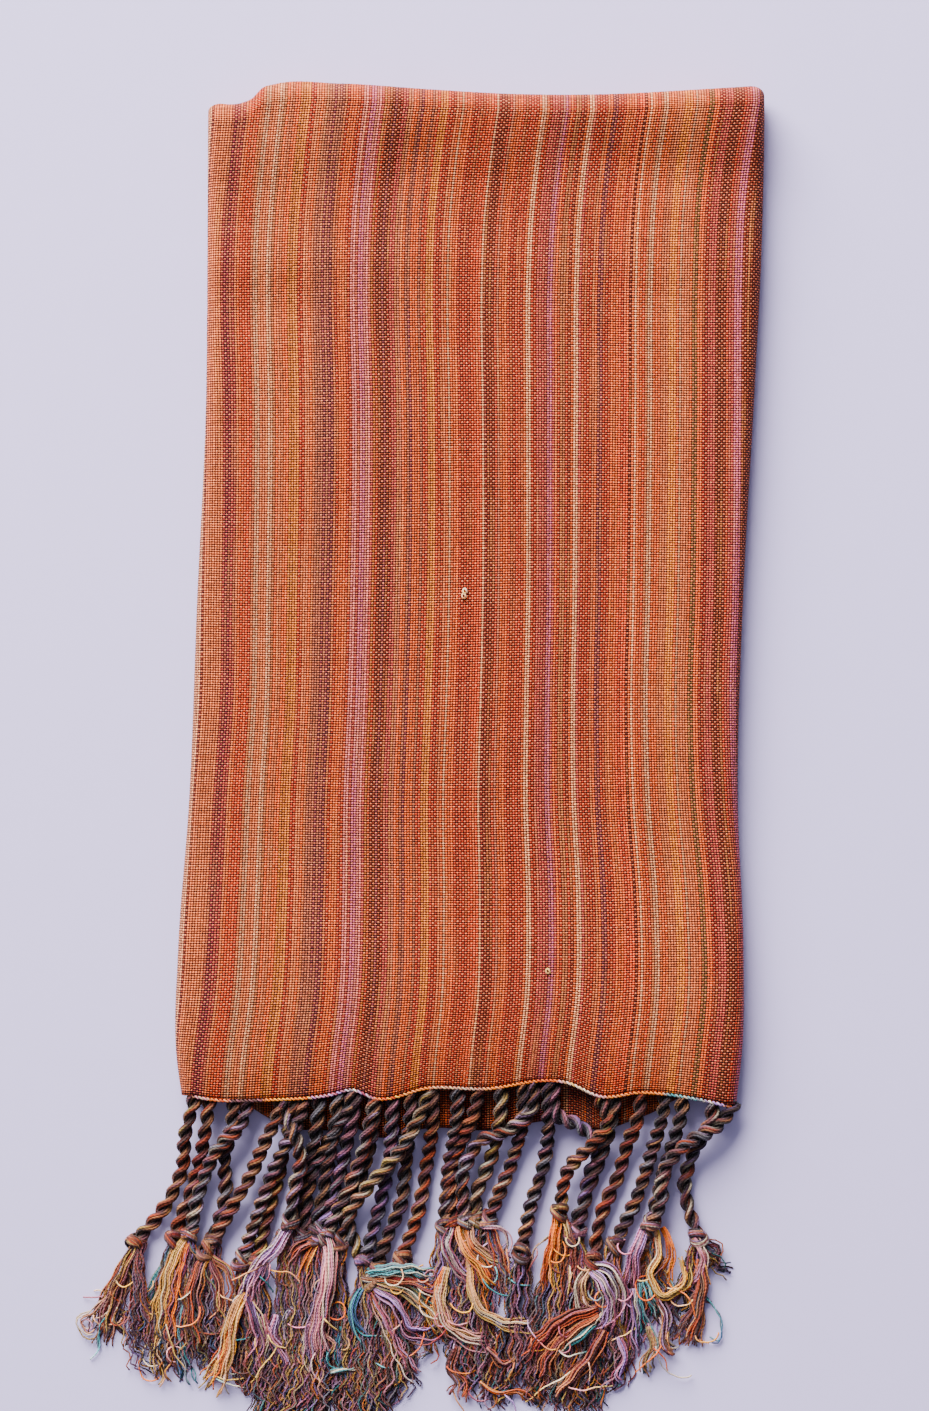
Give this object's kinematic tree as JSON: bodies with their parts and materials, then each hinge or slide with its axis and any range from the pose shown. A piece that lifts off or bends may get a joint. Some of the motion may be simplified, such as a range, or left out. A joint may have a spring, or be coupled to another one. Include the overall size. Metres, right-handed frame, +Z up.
{
  "type": "folded fringed scarf",
  "caption": "Handwoven striped scarf folded into a flat packet, with a twisted and knotted fringe spread out along one short edge.",
  "frame": {"origin": "middle of the whole scarf's footprint, fringe included, on the surface that it lies on", "axes": "+Z up from the surface, +Y from the fringe to the far fold, +X across the packet"},
  "size_m": [0.3172, 0.6348, 0.0224],
  "materials": {
    "cloth": "matt handwoven plain weave, space-dyed warp stripes under an orange weft",
    "fringe_yarn": "matt two-ply twisted yarn in orange, rose, lilac, yellow and cream"
  },
  "bodies": {
    "root": {"top_panel": "cloth", "inner_layers": "cloth", "fringe_upper_end": "fringe_yarn", "fringe_lower_end": "fringe_yarn"}
  },
  "joints": []
}
